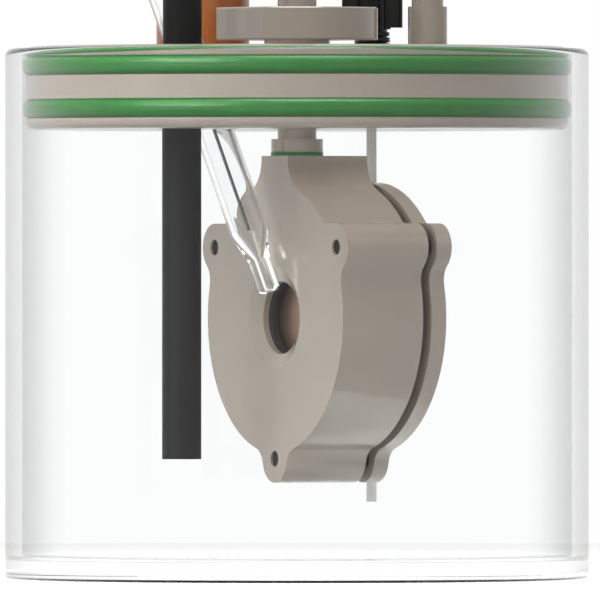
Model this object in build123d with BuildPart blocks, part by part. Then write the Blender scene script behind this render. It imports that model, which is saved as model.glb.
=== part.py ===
from build123d import *
import os
from math import cos, radians, sin, sqrt

# Electrochemical cell: a glass vessel closed by a PEEK lid that carries a flat sample
# holder, a graphite counter electrode, a glass reference tube, a gas inlet, a plug and a
# stopper. Millimetres, +Z up. The origin is the centre of the vessel's underside.
# The sample holder's window looks along -X.

os.makedirs("parts", exist_ok=True)

# Fits
running_gap = 0.05
seat_gap = 0.02
edge_break = 0.3

# Glass vessel
vessel_radius = 45.0
vessel_wall = 2.6
vessel_height = 81.9
vessel_floor = 3.1
vessel_foot_round = 0.8
vessel_corner_round = 0.8
vessel_rim_round = 1.2
foot_ring_width = 10.0
foot_recess_rise = 0.7

# Lid and its two sealing rings
lid_height = 12.8
lid_stand = 0.3
lid_side_gap = 0.55
lid_edge_round = 1.2
lid_groove_depth = 2.0
lid_groove_height = 3.0
upper_groove_drop = 4.6
lower_groove_rise = 1.6
lid_seal_round = 1.2

# Gland that grips the holder's shaft
knob_radius = 12.5
knob_height = 5.05
knob_flat_width = 20.4
knob_stand = 1.0
knob_edge_break = 0.2
neck_radius = 5.05
collar_radius = 7.75
collar_thread_depth = 0.8
collar_drop = 0.8
collar_length = 6.7
tip_length = 1.0
shaft_seal_radius = 5.2
shaft_seal_height = 2.2
shaft_seat_depth = 1.35
gland_groove_rise = 2.0

# Holder shaft
shaft_radius = 3.0
shaft_stand = 42.8
flange_radius = 4.0
flange_height = 2.0
gasket_thickness = 0.6
gasket_overhang = 0.05
spigot_radius = 2.5
spigot_length = 8.0
conductor_radius = 0.8
contact_pin_radius = 1.0
contact_pin_length = 6.0

# Sample holder
holder_front = -4.0
holder_hang = 4.05
body_thickness = 14.15
disc_radius = 20.9
ear_radius = 3.7
screw_circle_outset = 0.8
ear_blend = 3.0
ear_top_blend = 1.5
boss_width = 8.0
boss_stand = 4.05
boss_blend_share = 1.35
cover_gap = 1.55
cover_thickness = 2.55

# Window, sample and contact
window_radius = 5.6
dish_radius = 7.8
dish_depth = 1.2
front_wall = 2.2
electrode_seal_radius = 8.0
electrode_seal_width = 2.1
sample_radius = 10.0
sample_thickness = 2.0
contact_wall = 1.5
cover_groove_radius = 9.6
cover_groove_width = 2.2
cover_groove_setback = 2.0

# Holder screws
screw_radius = 1.2
screw_hole_gap = 0.025
screw_head_radius = 2.25
screw_head_angle = 45.0
screw_tip_recess = 0.4
screw_slot_width = 0.6
screw_slot_depth = 0.6
screw_recess_radius = 2.0
screw_recess_depth = 1.0

# Counter electrode
electrode_radius = 3.0
electrode_offset = -20.35
electrode_drop = 50.7
electrode_length = 100.0
electrode_counterbore_radius = 3.9
electrode_counterbore_depth = 4.7

# Reference tube, a tilted capillary whose tip stands at the window
tube_tip_gap = 1.95
tube_tip_side = 2.0
tube_tip_rise = 4.1
tube_port_inset = 12.68
tube_port_side = 8.0
tube_port_rise = 6.3
tube_radius = 2.95
tube_wall = 0.8
tube_length = 70.0
tube_seal_radius = 4.7
tube_seal_height = 2.2
capillary_radius = 1.65
capillary_bore = 0.5
capillary_length = 5.5
shoulder_length = 4.0
tip_round = 0.5
wire_radius = 0.25
wire_foot = 10.0
wire_stand = 8.0
cap_radius = 3.9
cap_height = 5.0
cap_plug_length = 6.0

# Port circle
port_circle_radius = 23.3
gas_port_angle = 30.0
plug_port_angle = 0.0
stopper_port_angle = 98.75

# Gas fitting
gas_tube_radius = 0.8
gas_tube_bore = 0.4
gas_tube_drop = 57.5
gas_tube_stand = 29.8
gas_port_depth = 7.5
nut_thread_radius = 2.95
nut_thread_depth = 0.6
nut_stand = 2.9
nut_height = 11.5
barrel_radius = 2.6
barrel_rib_radius = 0.28
barrel_ribs = 16
wing_span = 9.4
wing_thickness = 2.4
wing_lift = 0.25
wing_angle = -30.0
wing_round = 0.6
ferrule_radius = 2.35
ferrule_nose_radius = 1.4
ferrule_foot = 1.0
ferrule_height = 2.6
ferrule_reach = 0.8

# Port plug
plug_radius = 3.03
plug_stand = 6.3
plug_stem_radius = 2.45
plug_stem_length = 8.5
plug_foot_radius = 2.9
plug_foot_bottom_rise = 4.3
plug_foot_chamfer = 0.7
plug_groove_radius = 2.3
plug_seal_height = 1.9
plug_port_radius = 4.1
plug_port_depth = 4.8
plug_throat_radius = 3.3
plug_cone_height = 0.6

# Screw stopper
stopper_radius = 7.2
stopper_height = 11.5
stopper_stand = 0.3
stopper_thread_radius = 5.0
stopper_thread_depth = 0.7
stopper_thread_length = 7.5
stopper_groove_radius = 3.9
stopper_seal_height = 2.2
stopper_foot = 1.5
stopper_edge_break = 0.6

# Worked out from the sizes above
vessel_bore = vessel_radius - vessel_wall
lid_radius = vessel_bore - lid_side_gap
lid_top = vessel_height + lid_stand
lid_bottom = lid_top - lid_height
lid_groove_radius = lid_radius - lid_groove_depth
upper_groove_bottom = lid_top - upper_groove_drop
lower_groove_bottom = lid_bottom + lower_groove_rise

gland_hole_radius = collar_radius + running_gap
collar_top = lid_top - collar_drop
collar_bottom = collar_top - collar_length
tip_bottom = collar_bottom - tip_length
shaft_seal_bottom = tip_bottom - running_gap - shaft_seal_height
gland_hole_bottom = shaft_seal_bottom + shaft_seat_depth
knob_bottom = lid_top + knob_stand
knob_top = knob_bottom + knob_height
gland_seal_bottom = knob_bottom + gland_groove_rise
shaft_bore = shaft_radius + running_gap

shaft_top = lid_top + shaft_stand
boss_top = lid_bottom - holder_hang
boss_blend = boss_blend_share * boss_stand
holder_axis_height = boss_top - boss_stand - disc_radius
screw_circle_radius = disc_radius + screw_circle_outset
gasket_top = boss_top + gasket_thickness
body_rear = holder_front + body_thickness
cover_front = body_rear + cover_gap
cover_rear = cover_front + cover_thickness
sample_front = holder_front + front_wall + electrode_seal_width
contact_radius = sample_radius + contact_wall
contact_rear = sample_front + sample_thickness + contact_wall + seat_gap
cavity_radius = contact_radius + running_gap
cavity_roof = holder_axis_height + cavity_radius
screw_hole_radius = screw_radius + screw_hole_gap

electrode_bottom = lid_bottom - electrode_drop
gas_tube_bottom = lid_bottom - gas_tube_drop
gas_tube_top = lid_top + gas_tube_stand

tube_tip = Vector(holder_front - tube_tip_gap, -tube_tip_side, holder_axis_height + tube_tip_rise)
tube_lid_point = Vector(-tube_port_inset, tube_port_side, lid_bottom + tube_port_rise)
tube_direction = (tube_lid_point - tube_tip).normalized()
tube_sideways = tube_direction.cross(Vector(0, 0, 1)).normalized()
tube_section = Plane(origin=tube_tip, x_dir=tube_sideways, z_dir=tube_sideways.cross(tube_direction))
tube_axis = Axis(tube_tip, tube_direction)
tube_bore = tube_radius - tube_wall
tube_seal_middle = (tube_lid_point - tube_tip).length


def port_centre(angle):
    """Return the place of a port on the port circle."""
    return (port_circle_radius * cos(radians(angle)), port_circle_radius * sin(radians(angle)))


cell_centre = (0.0, 0.0)
electrode_centre = (electrode_offset, 0.0)
gas_centre = port_centre(gas_port_angle)
plug_centre = port_centre(plug_port_angle)
stopper_centre = port_centre(stopper_port_angle)


def section_plane(centre):
    """Return the upright plane through a centre, with radius along x and height along y."""
    return Plane(origin=(centre[0], centre[1], 0), x_dir=(1, 0, 0), z_dir=(0, -1, 0))


def upright(centre):
    """Return the upright axis through a centre."""
    return Axis((centre[0], centre[1], 0), (0, 0, 1))


def turn(centre, outline, mode=Mode.ADD):
    """Revolve an outline of (radius, height) points about the upright axis at a centre."""
    with BuildSketch(section_plane(centre)) as section:
        with BuildLine():
            Polyline(*outline, close=True)
        make_face()
    revolve(section.sketch, axis=upright(centre), mode=mode)


def ring_section(inner, outer, bottom, top):
    """Draw the section of a pressed sealing ring between two radii and two heights."""
    roundness = 0.42 * min(outer - inner, top - bottom)
    with Locations(((inner + outer) / 2, (bottom + top) / 2)):
        RectangleRounded(outer - inner, top - bottom, roundness)


def lid_ring_section(groove_bottom):
    """Draw the D-shaped section of a lid ring, flat in its groove and round at the glass."""
    inner = lid_groove_radius + seat_gap
    outer = vessel_bore - running_gap
    bottom = groove_bottom + running_gap
    top = groove_bottom + lid_groove_height - running_gap
    with Locations(((inner + outer) / 2, (bottom + top) / 2)):
        section = Rectangle(outer - inner, top - bottom)
    fillet(section.vertices().sort_by(Axis.X)[-2:], radius=lid_seal_round)


def disc_corners(outline, low, high):
    """Return the outline's corners that lie on the holder disc's edge between two heights."""
    return [
        corner
        for corner in outline.vertices()
        if abs(sqrt(corner.X**2 + corner.Y**2) - disc_radius) < 0.001 and low < corner.Y < high
    ]


def holder_outline(plane, has_boss):
    """Draw the holder's disc with its three screw ears, and the shaft boss if it has one."""
    with BuildSketch(plane) as outline:
        Circle(disc_radius)
        with PolarLocations(screw_circle_radius, 3, start_angle=-90):
            Circle(ear_radius)
        ear_across = screw_circle_radius * cos(radians(30))
        ear_up = screw_circle_radius * sin(radians(30))
        for side in (-1, 1):
            with Locations((side * (ear_across - ear_radius), ear_up + ear_radius / 2)):
                Rectangle(2 * ear_radius, ear_radius)
        if has_boss:
            with Locations((0, 0)):
                Rectangle(boss_width, boss_top - holder_axis_height, align=(Align.CENTER, Align.MIN))
        fillet(disc_corners(outline, -disc_radius, ear_up), radius=ear_blend)
        fillet(disc_corners(outline, ear_up, 0.8 * disc_radius), radius=ear_top_blend)
        if has_boss:
            fillet(disc_corners(outline, 0.9 * disc_radius, disc_radius), radius=boss_blend)
        with PolarLocations(screw_circle_radius, 3, start_angle=-90):
            Circle(screw_hole_radius, mode=Mode.SUBTRACT)
    return outline.sketch


def across(distance):
    """Return the plane square to the holder's axis at a place along X, centred on that axis."""
    return Plane(origin=(distance, 0, holder_axis_height), x_dir=(0, 1, 0), z_dir=(1, 0, 0))


# The plane through the holder's axis, with X along x and the radius along y
holder_section = Plane(origin=(0, 0, holder_axis_height), x_dir=(1, 0, 0), z_dir=(0, -1, 0))
holder_axis = Axis((0, 0, holder_axis_height), (1, 0, 0))


def turn_in_holder(outline, mode=Mode.ADD):
    """Revolve an outline of (place along X, radius) points about the holder's axis."""
    with BuildSketch(holder_section) as section:
        with BuildLine():
            Polyline(*outline, close=True)
        make_face()
    revolve(section.sketch, axis=holder_axis, mode=mode)


# Glass vessel, blown with a flat foot ring round a slightly raised underside
foot_ring_inner = vessel_radius - foot_ring_width
foot_arc_radius = (foot_ring_inner**2 + foot_recess_rise**2) / (2 * foot_recess_rise)
with BuildPart() as glass_vessel:
    with BuildSketch(Plane.XZ) as section:
        with BuildLine():
            RadiusArc((0, foot_recess_rise), (foot_ring_inner, 0), foot_arc_radius)
            Polyline(
                (foot_ring_inner, 0),
                (vessel_radius, 0),
                (vessel_radius, vessel_height),
                (vessel_bore, vessel_height),
                (vessel_bore, vessel_floor),
                (0, vessel_floor),
                (0, foot_recess_rise),
            )
        make_face()
        fillet(section.vertices().group_by(Axis.Y)[-1], radius=vessel_rim_round)
        fillet(section.vertices().sort_by_distance((vessel_radius, 0))[0], radius=vessel_foot_round)
        fillet(section.vertices().sort_by_distance((vessel_bore, vessel_floor))[0], radius=vessel_corner_round)
    revolve(axis=Axis.Z)
glass_vessel.part.label = "glass_vessel"
export_step(glass_vessel.part, "parts/glass_vessel.step")

# Lid, a turned disc with two ring grooves and six ports
with BuildPart() as lid:
    with BuildSketch(Plane.XY.offset(lid_bottom)):
        Circle(lid_radius)
    extrude(amount=lid_height)
    fillet(lid.edges(), radius=lid_edge_round)
    for groove_bottom in (lower_groove_bottom, upper_groove_bottom):
        with BuildSketch(Plane.XY.offset(groove_bottom)):
            Circle(lid_radius)
            Circle(lid_groove_radius, mode=Mode.SUBTRACT)
        extrude(amount=lid_groove_height, mode=Mode.SUBTRACT)
    with Locations((0, 0, lid_top)):
        CounterBoreHole(
            shaft_seal_radius + running_gap,
            gland_hole_radius,
            lid_top - gland_hole_bottom,
            depth=lid_top - shaft_seal_bottom + seat_gap,
        )
        Hole(shaft_bore, depth=lid_height)
    with Locations((*electrode_centre, lid_bottom)):
        Cylinder(
            electrode_counterbore_radius,
            electrode_counterbore_depth,
            align=(Align.CENTER, Align.CENTER, Align.MIN),
            mode=Mode.SUBTRACT,
        )
    with Locations((*electrode_centre, lid_top)):
        Hole(electrode_radius + running_gap, depth=lid_height)
    with Locations((*gas_centre, lid_top)):
        CounterBoreHole(
            gas_tube_radius + running_gap,
            nut_thread_radius + running_gap,
            gas_port_depth,
            depth=lid_height,
        )
    turn(
        plug_centre,
        [
            (0, lid_top),
            (plug_port_radius, lid_top),
            (plug_port_radius, lid_top - plug_port_depth),
            (plug_throat_radius, lid_top - plug_port_depth - plug_cone_height),
            (plug_throat_radius, lid_bottom),
            (0, lid_bottom),
        ],
        mode=Mode.SUBTRACT,
    )
    with Locations((*stopper_centre, lid_top)):
        Hole(stopper_thread_radius + running_gap, depth=lid_height)
    with BuildSketch(tube_section):
        with Locations((0, tube_seal_middle)):
            Rectangle(tube_radius + running_gap, 2 * lid_height, align=(Align.MIN, Align.CENTER))
            Rectangle(
                tube_seal_radius + running_gap,
                tube_seal_height + 2 * running_gap,
                align=(Align.MIN, Align.CENTER),
            )
    revolve(axis=tube_axis, mode=Mode.SUBTRACT)
lid.part.label = "lid"
export_step(lid.part, "parts/lid.step")

# Sealing rings between the lid and the glass
with BuildPart() as lid_seal_upper:
    with BuildSketch(Plane.XZ):
        lid_ring_section(upper_groove_bottom)
    revolve(axis=Axis.Z)
lid_seal_upper.part.label = "lid_seal_upper"
export_step(lid_seal_upper.part, "parts/lid_seal_upper.step")

with BuildPart() as lid_seal_lower:
    with BuildSketch(Plane.XZ):
        lid_ring_section(lower_groove_bottom)
    revolve(axis=Axis.Z)
lid_seal_lower.part.label = "lid_seal_lower"
export_step(lid_seal_lower.part, "parts/lid_seal_lower.step")

# Gland knob: a head with two wrench flats, a waist, a threaded collar and a pressing tip
collar_core = collar_radius - collar_thread_depth
gland_groove_radius = shaft_seal_radius + running_gap
gland_groove_bottom = gland_seal_bottom - running_gap
gland_groove_top = gland_seal_bottom + shaft_seal_height + running_gap
with BuildPart() as gland_knob:
    with BuildSketch(Plane.XY.offset(knob_bottom)) as head:
        Circle(knob_radius)
        Rectangle(knob_flat_width, 2 * knob_radius, mode=Mode.INTERSECT)
    extrude(amount=knob_height)
    chamfer(gland_knob.edges().group_by(Axis.Z)[-1], length=knob_edge_break)
    chamfer(gland_knob.edges().group_by(Axis.Z)[0], length=knob_edge_break)
    turn(
        cell_centre,
        [
            (0, tip_bottom),
            (neck_radius, tip_bottom),
            (neck_radius, collar_bottom),
            (collar_core, collar_bottom),
            (collar_core, collar_top),
            (neck_radius, collar_top),
            (neck_radius, knob_bottom),
            (0, knob_bottom),
        ],
    )
    turn(
        cell_centre,
        [
            (0, tip_bottom),
            (shaft_bore, tip_bottom),
            (shaft_bore, gland_groove_bottom),
            (gland_groove_radius, gland_groove_bottom),
            (gland_groove_radius, gland_groove_top),
            (shaft_bore, gland_groove_top),
            (shaft_bore, knob_top),
            (0, knob_top),
        ],
        mode=Mode.SUBTRACT,
    )
gland_knob.part.label = "gland_knob"
export_step(gland_knob.part, "parts/gland_knob.step")

# Ring inside the knob and ring under its tip, both round the shaft
with BuildPart() as gland_seal:
    with BuildSketch(Plane.XZ):
        ring_section(shaft_bore, shaft_seal_radius, gland_seal_bottom, gland_seal_bottom + shaft_seal_height)
    revolve(axis=Axis.Z)
gland_seal.part.label = "gland_seal"
export_step(gland_seal.part, "parts/gland_seal.step")

with BuildPart() as shaft_seal:
    with BuildSketch(Plane.XZ):
        ring_section(shaft_bore, shaft_seal_radius, shaft_seal_bottom, shaft_seal_bottom + shaft_seal_height)
    revolve(axis=Axis.Z)
shaft_seal.part.label = "shaft_seal"
export_step(shaft_seal.part, "parts/shaft_seal.step")

# Holder shaft, a hollow PEEK rod with a flange and a spigot that screws into the holder
with BuildPart() as holder_shaft:
    turn(
        cell_centre,
        [
            (conductor_radius + seat_gap, boss_top - spigot_length),
            (spigot_radius, boss_top - spigot_length),
            (spigot_radius, gasket_top + seat_gap),
            (flange_radius, gasket_top + seat_gap),
            (flange_radius, gasket_top + flange_height),
            (shaft_radius, gasket_top + flange_height),
            (shaft_radius, shaft_top),
            (conductor_radius + seat_gap, shaft_top),
        ],
    )
    chamfer(holder_shaft.edges().group_by(Axis.Z)[-1].sort_by(SortBy.LENGTH)[-1], length=edge_break)
holder_shaft.part.label = "holder_shaft"
export_step(holder_shaft.part, "parts/holder_shaft.step")

with BuildPart() as shaft_gasket:
    with BuildSketch(Plane.XY.offset(boss_top + seat_gap)):
        Circle(flange_radius + gasket_overhang)
        Circle(spigot_radius + running_gap, mode=Mode.SUBTRACT)
    extrude(amount=gasket_thickness - seat_gap)
shaft_gasket.part.label = "shaft_gasket"
export_step(shaft_gasket.part, "parts/shaft_gasket.step")

# Conductor, a brass rod down the shaft that stands on the contact cup's rim, with a stouter pin on top
with BuildPart() as conductor_rod:
    with BuildSketch(Plane.XY.offset(cavity_roof + seat_gap)):
        Circle(conductor_radius)
    extrude(amount=shaft_top - cavity_roof)
    with BuildSketch(Plane.XY.offset(shaft_top + seat_gap)):
        Circle(contact_pin_radius)
    extrude(amount=contact_pin_length)
    chamfer(conductor_rod.edges().group_by(Axis.Z)[-1], length=edge_break)
conductor_rod.part.label = "conductor_rod"
export_step(conductor_rod.part, "parts/conductor_rod.step")

# Holder body, a disc with three ears, a shaft boss, a dished window and a cavity behind it
with BuildPart() as holder_body:
    extrude(holder_outline(across(holder_front), has_boss=True), amount=body_thickness)
    turn_in_holder(
        [
            (holder_front, 0),
            (holder_front, dish_radius),
            (holder_front + dish_depth, window_radius),
            (holder_front + front_wall, window_radius),
            (holder_front + front_wall, electrode_seal_radius + seat_gap),
            (sample_front, electrode_seal_radius + seat_gap),
            (sample_front, cavity_radius),
            (body_rear, cavity_radius),
            (body_rear, 0),
        ],
        mode=Mode.SUBTRACT,
    )
    with Locations((0, 0, boss_top)):
        CounterBoreHole(
            conductor_radius + seat_gap,
            spigot_radius + seat_gap,
            spigot_length + seat_gap,
            depth=boss_top - cavity_roof,
        )
holder_body.part.label = "holder_body"
export_step(holder_body.part, "parts/holder_body.step")

# Sealing ring, sample and contact cup, from the window backwards
with BuildPart() as electrode_seal:
    with BuildSketch(holder_section):
        ring_left = holder_front + front_wall + seat_gap
        ring_right = sample_front - seat_gap
        ring_middle = (window_radius + electrode_seal_radius) / 2
        with Locations(((ring_left + ring_right) / 2, ring_middle)):
            RectangleRounded(
                ring_right - ring_left,
                electrode_seal_radius - window_radius,
                0.42 * min(ring_right - ring_left, electrode_seal_radius - window_radius),
            )
    revolve(axis=holder_axis)
electrode_seal.part.label = "electrode_seal"
export_step(electrode_seal.part, "parts/electrode_seal.step")

with BuildPart() as working_electrode:
    with BuildSketch(across(sample_front + seat_gap)):
        Circle(sample_radius)
    extrude(amount=sample_thickness - seat_gap)
working_electrode.part.label = "working_electrode"
export_step(working_electrode.part, "parts/working_electrode.step")

with BuildPart() as contact_cup:
    turn_in_holder(
        [
            (sample_front + seat_gap, sample_radius + seat_gap),
            (sample_front + seat_gap, contact_radius),
            (contact_rear, contact_radius),
            (contact_rear, 0),
            (contact_rear - contact_wall, 0),
            (contact_rear - contact_wall, sample_radius + seat_gap),
        ]
    )
contact_cup.part.label = "contact_cup"
export_step(contact_cup.part, "parts/contact_cup.step")

# Back cover: a plate with the holder's outline and a plug that presses the contact cup
cover_groove_right = cover_front - cover_groove_setback
cover_groove_left = cover_groove_right - cover_groove_width
with BuildPart() as holder_back_cover:
    extrude(holder_outline(across(cover_front), has_boss=False), amount=cover_thickness)
    turn_in_holder(
        [
            (contact_rear + seat_gap, 0),
            (contact_rear + seat_gap, contact_radius),
            (cover_groove_left, contact_radius),
            (cover_groove_left, cover_groove_radius),
            (cover_groove_right, cover_groove_radius),
            (cover_groove_right, contact_radius),
            (cover_front, contact_radius),
            (cover_front, 0),
        ]
    )
    with BuildSketch(across(cover_front)):
        with PolarLocations(screw_circle_radius, 3, start_angle=-90):
            Circle(screw_recess_radius)
    extrude(amount=screw_recess_depth, mode=Mode.SUBTRACT)
    with BuildSketch(across(cover_rear)):
        with PolarLocations(screw_circle_radius, 3, start_angle=-90):
            Circle(screw_head_radius + 2 * seat_gap)
    extrude(amount=screw_radius - screw_head_radius, taper=screw_head_angle, mode=Mode.SUBTRACT)
holder_back_cover.part.label = "holder_back_cover"
export_step(holder_back_cover.part, "parts/holder_back_cover.step")

with BuildPart() as cover_seal:
    with BuildSketch(holder_section):
        ring_middle = (cover_groove_radius + contact_radius) / 2
        ring_depth = contact_radius - cover_groove_radius - seat_gap
        with Locations(((cover_groove_left + cover_groove_right) / 2, ring_middle + seat_gap)):
            RectangleRounded(cover_groove_width - 2 * seat_gap, ring_depth, 0.42 * ring_depth)
    revolve(axis=holder_axis)
cover_seal.part.label = "cover_seal"
export_step(cover_seal.part, "parts/cover_seal.step")

# Three countersunk slotted screws that draw the cover towards the body
screw_tip = holder_front + screw_tip_recess
screw_head_top = cover_rear - seat_gap
with BuildPart() as holder_screws:
    with BuildSketch(across(screw_tip)):
        with PolarLocations(screw_circle_radius, 3, start_angle=-90):
            Circle(screw_radius)
    extrude(amount=screw_head_top - screw_tip)
    with BuildSketch(across(screw_head_top)):
        with PolarLocations(screw_circle_radius, 3, start_angle=-90):
            Circle(screw_head_radius)
    extrude(amount=screw_radius - screw_head_radius, taper=screw_head_angle)
    with BuildSketch(across(screw_head_top)):
        with PolarLocations(screw_circle_radius, 3, start_angle=-90):
            Rectangle(3 * screw_head_radius, screw_slot_width)
    extrude(amount=-screw_slot_depth, mode=Mode.SUBTRACT)
holder_screws.part.label = "holder_screws"
export_step(holder_screws.part, "parts/holder_screws.step")

# Counter electrode, a plain graphite rod
with BuildPart() as counter_electrode:
    turn(
        electrode_centre,
        [
            (0, electrode_bottom),
            (electrode_radius, electrode_bottom),
            (electrode_radius, electrode_bottom + electrode_length),
            (0, electrode_bottom + electrode_length),
        ],
    )
    chamfer(counter_electrode.edges().group_by(Axis.Z)[-1], length=edge_break)
counter_electrode.part.label = "counter_electrode"
export_step(counter_electrode.part, "parts/counter_electrode.step")

# Reference tube, a glass tube drawn down to a thick-walled capillary
capillary_end = capillary_length + shoulder_length
with BuildPart() as reference_tube:
    with BuildSketch(tube_section) as section:
        with BuildLine():
            Polyline(
                (capillary_bore, 0),
                (capillary_radius, 0),
                (capillary_radius, capillary_length),
                (tube_radius, capillary_end),
                (tube_radius, tube_length),
                (tube_bore, tube_length),
                (tube_bore, capillary_end),
                (capillary_bore, capillary_length),
                close=True,
            )
        make_face()
        fillet(section.vertices().sort_by_distance((capillary_radius, 0))[0], radius=tip_round)
    revolve(axis=tube_axis)
reference_tube.part.label = "reference_tube"
export_step(reference_tube.part, "parts/reference_tube.step")

# Cap that closes the tube and carries the silver wire down its middle
with BuildPart() as reference_cap:
    with BuildSketch(tube_section) as section:
        with BuildLine():
            Polyline(
                (wire_radius + seat_gap, tube_length - cap_plug_length),
                (tube_bore - running_gap, tube_length - cap_plug_length),
                (tube_bore - running_gap, tube_length + seat_gap),
                (cap_radius, tube_length + seat_gap),
                (cap_radius, tube_length + cap_height),
                (wire_radius + seat_gap, tube_length + cap_height),
                close=True,
            )
        make_face()
        chamfer(
            section.vertices().sort_by_distance((cap_radius, tube_length + cap_height))[0],
            length=edge_break,
        )
    revolve(axis=tube_axis)
reference_cap.part.label = "reference_cap"
export_step(reference_cap.part, "parts/reference_cap.step")

with BuildPart() as reference_wire:
    with BuildSketch(tube_section):
        with Locations((0, wire_foot)):
            Rectangle(
                wire_radius,
                tube_length + cap_height + wire_stand - wire_foot,
                align=(Align.MIN, Align.MIN),
            )
    revolve(axis=tube_axis)
reference_wire.part.label = "reference_wire"
export_step(reference_wire.part, "parts/reference_wire.step")

with BuildPart() as reference_seal:
    with BuildSketch(tube_section):
        ring_section(
            tube_radius + running_gap,
            tube_seal_radius,
            tube_seal_middle - tube_seal_height / 2,
            tube_seal_middle + tube_seal_height / 2,
        )
    revolve(axis=tube_axis)
reference_seal.part.label = "reference_seal"
export_step(reference_seal.part, "parts/reference_seal.step")

# Gas inlet: a straight thin tube, a cone ferrule on it and a winged hollow screw
gas_port_bottom = lid_top - gas_port_depth
ferrule_bottom = gas_port_bottom + running_gap
ferrule_top = ferrule_bottom + ferrule_height
with BuildPart() as gas_tube:
    turn(
        gas_centre,
        [
            (gas_tube_bore, gas_tube_bottom),
            (gas_tube_radius, gas_tube_bottom),
            (gas_tube_radius, gas_tube_top),
            (gas_tube_bore, gas_tube_top),
        ],
    )
gas_tube.part.label = "gas_tube"
export_step(gas_tube.part, "parts/gas_tube.step")

with BuildPart() as gas_ferrule:
    turn(
        gas_centre,
        [
            (gas_tube_radius + seat_gap, ferrule_bottom),
            (ferrule_radius, ferrule_bottom),
            (ferrule_radius, ferrule_bottom + ferrule_foot),
            (ferrule_nose_radius, ferrule_top),
            (gas_tube_radius + seat_gap, ferrule_top),
        ],
    )
gas_ferrule.part.label = "gas_ferrule"
export_step(gas_ferrule.part, "parts/gas_ferrule.step")

nut_bottom = ferrule_top - ferrule_reach
ferrule_taper = (ferrule_radius - ferrule_nose_radius) / (ferrule_height - ferrule_foot)
nut_head_bottom = lid_top + nut_stand
nut_core = nut_thread_radius - nut_thread_depth
wing_bottom = nut_head_bottom + wing_lift
with BuildPart() as gas_fitting_nut:
    with BuildSketch(Plane(origin=(*gas_centre, nut_head_bottom))):
        Circle(barrel_radius)
        with PolarLocations(barrel_radius, barrel_ribs):
            Circle(barrel_rib_radius)
    extrude(amount=nut_height)
    with BuildSketch(Plane(origin=(*gas_centre, wing_bottom))):
        with Locations(Location((0, 0, 0), (0, 0, wing_angle))):
            RectangleRounded(wing_span, wing_thickness, wing_round)
    extrude(amount=nut_height - 2 * wing_lift)
    turn(
        gas_centre,
        [
            (0, nut_bottom),
            (nut_core, nut_bottom),
            (nut_core, nut_head_bottom),
            (0, nut_head_bottom),
        ],
    )
    turn(
        gas_centre,
        [
            (0, nut_bottom),
            (ferrule_nose_radius + ferrule_reach * ferrule_taper + running_gap, nut_bottom),
            (ferrule_nose_radius + running_gap, ferrule_top + running_gap),
            (gas_tube_radius + running_gap, ferrule_top + running_gap),
            (gas_tube_radius + running_gap, nut_head_bottom + nut_height),
            (0, nut_head_bottom + nut_height),
        ],
        mode=Mode.SUBTRACT,
    )
gas_fitting_nut.part.label = "gas_fitting_nut"
export_step(gas_fitting_nut.part, "parts/gas_fitting_nut.step")

# Port plug: a push-in PEEK plug with one ring that sits on the port's cone
plug_seal_bottom = lid_top - plug_port_depth + running_gap
plug_groove_top = plug_seal_bottom + plug_seal_height + seat_gap
plug_shoulder = lid_top + plug_stand
with BuildPart() as port_plug:
    turn(
        plug_centre,
        [
            (0, lid_bottom + plug_foot_bottom_rise),
            (plug_foot_radius - plug_foot_chamfer, lid_bottom + plug_foot_bottom_rise),
            (plug_foot_radius, lid_bottom + plug_foot_bottom_rise + plug_foot_chamfer),
            (plug_foot_radius, plug_seal_bottom - seat_gap),
            (plug_groove_radius, plug_seal_bottom - seat_gap),
            (plug_groove_radius, plug_groove_top),
            (plug_radius, plug_groove_top),
            (plug_radius, plug_shoulder),
            (plug_stem_radius, plug_shoulder),
            (plug_stem_radius, plug_shoulder + plug_stem_length),
            (0, plug_shoulder + plug_stem_length),
        ],
    )
    chamfer(port_plug.edges().group_by(Axis.Z)[-1], length=edge_break)
port_plug.part.label = "port_plug"
export_step(port_plug.part, "parts/port_plug.step")

with BuildPart() as port_plug_seal:
    with BuildSketch(section_plane(plug_centre)):
        ring_section(
            plug_groove_radius + seat_gap,
            plug_port_radius - running_gap,
            plug_seal_bottom,
            plug_seal_bottom + plug_seal_height,
        )
    revolve(axis=upright(plug_centre))
port_plug_seal.part.label = "port_plug_seal"
export_step(port_plug_seal.part, "parts/port_plug_seal.step")

# Screw stopper with a plain round head, and the ring near its foot
stopper_head_bottom = lid_top + stopper_stand
stopper_core = stopper_thread_radius - stopper_thread_depth
stopper_thread_bottom = lid_top - stopper_thread_length
stopper_groove_bottom = stopper_thread_bottom - stopper_seal_height - 2 * running_gap
stopper_bottom = stopper_groove_bottom - stopper_foot
with BuildPart() as port_stopper:
    turn(
        stopper_centre,
        [
            (0, stopper_bottom),
            (stopper_core, stopper_bottom),
            (stopper_core, stopper_groove_bottom),
            (stopper_groove_radius, stopper_groove_bottom),
            (stopper_groove_radius, stopper_thread_bottom),
            (stopper_core, stopper_thread_bottom),
            (stopper_core, stopper_head_bottom),
            (stopper_radius, stopper_head_bottom),
            (stopper_radius, stopper_head_bottom + stopper_height),
            (0, stopper_head_bottom + stopper_height),
        ],
    )
    chamfer(port_stopper.edges().group_by(Axis.Z)[-1], length=stopper_edge_break)
port_stopper.part.label = "port_stopper"
export_step(port_stopper.part, "parts/port_stopper.step")

with BuildPart() as port_stopper_seal:
    with BuildSketch(section_plane(stopper_centre)):
        ring_section(
            stopper_groove_radius + running_gap,
            stopper_thread_radius,
            stopper_groove_bottom + running_gap,
            stopper_groove_bottom + running_gap + stopper_seal_height,
        )
    revolve(axis=upright(stopper_centre))
port_stopper_seal.part.label = "port_stopper_seal"
export_step(port_stopper_seal.part, "parts/port_stopper_seal.step")
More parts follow.
